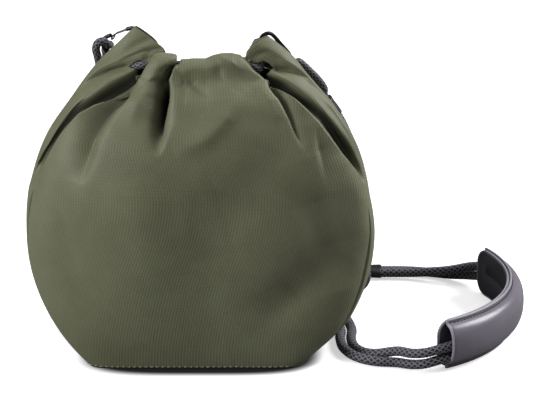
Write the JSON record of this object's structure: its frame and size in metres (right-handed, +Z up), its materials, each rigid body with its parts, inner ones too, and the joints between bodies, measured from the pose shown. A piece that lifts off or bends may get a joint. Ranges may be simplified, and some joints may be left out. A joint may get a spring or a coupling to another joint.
{
  "type": "drawstring pouch",
  "caption": "Padded drawstring pouch with gathered neck and side ears, wire-gate clips and a doubled rope shoulder strap with a leather-faced pad.",
  "frame": {"origin": "centre of the flat base, on the ground", "axes": "+Z up through the mouth, -Y out of the front panel, +X towards the side where the strap lies"},
  "size_m": [0.3959, 0.2164, 0.262],
  "materials": {
    "ripstop": "matt",
    "base_cloth": "matt",
    "board": "matt",
    "lining": "matt",
    "braid": "matt",
    "clip": "satin",
    "wire": "satin",
    "sleeve": "satin",
    "webbing": "matt",
    "leather": "satin"
  },
  "bodies": {
    "pouch": {"front_panel": "ripstop", "back_panel": "ripstop", "left_gusset": "ripstop", "right_gusset": "ripstop", "front_casing": "ripstop", "back_casing": "ripstop", "base_panel": "base_cloth", "base_board": "board", "base_padding": "lining", "front_padding": "lining", "back_padding": "lining", "left_padding": "lining", "right_padding": "lining", "drawstring": "braid", "strap_bight": "braid", "strap_lower": "braid", "strap_upper": "braid", "tail_eye": "braid", "tail_cord": "braid", "splice_sleeve": "sleeve", "tail_ferrule": "sleeve"},
    "left_clip": {"left_clip_body": "clip"},
    "left_gate": {"left_clip_gate": "wire"},
    "right_clip": {"right_clip_body": "clip"},
    "right_gate": {"right_clip_gate": "wire"},
    "shoulder_pad": {"pad_leather": "leather", "pad_backing": "webbing"}
  },
  "joints": [
    {"name": "left_clip_twist", "type": "hinge", "parent": "pouch", "child": "left_clip", "pos_m": [-0.04898, 0.01102, 0.24558], "axis": [-0.9164, 0.3558, -0.1835], "range_deg": [-12, 12]},
    {"name": "left_gate_open", "type": "hinge", "parent": "left_clip", "child": "left_gate", "pos_m": [-0.05598, 0.01374, 0.25668], "axis": [-0.3619, -0.9322, 0], "range_deg": [0, 20], "stiffness_Nm_per_rad": 0.02, "springref_deg": -8.59},
    {"name": "right_clip_twist", "type": "hinge", "parent": "pouch", "child": "right_clip", "pos_m": [0.04654, 0.00799, 0.24655], "axis": [0.6856, 0.3583, -0.6336], "range_deg": [-12, 12]},
    {"name": "right_gate_open", "type": "hinge", "parent": "right_clip", "child": "right_gate", "pos_m": [0.04914, 0.00935, 0.24169], "axis": [0.4632, -0.8863, 0], "range_deg": [0, 20], "stiffness_Nm_per_rad": 0.02, "springref_deg": -8.59},
    {"name": "pad_slide", "type": "hinge", "parent": "pouch", "child": "shoulder_pad", "pos_m": [0.135, 0.05, 0], "axis": [0, 0, 1], "range_deg": [-3, 3]}
  ]
}
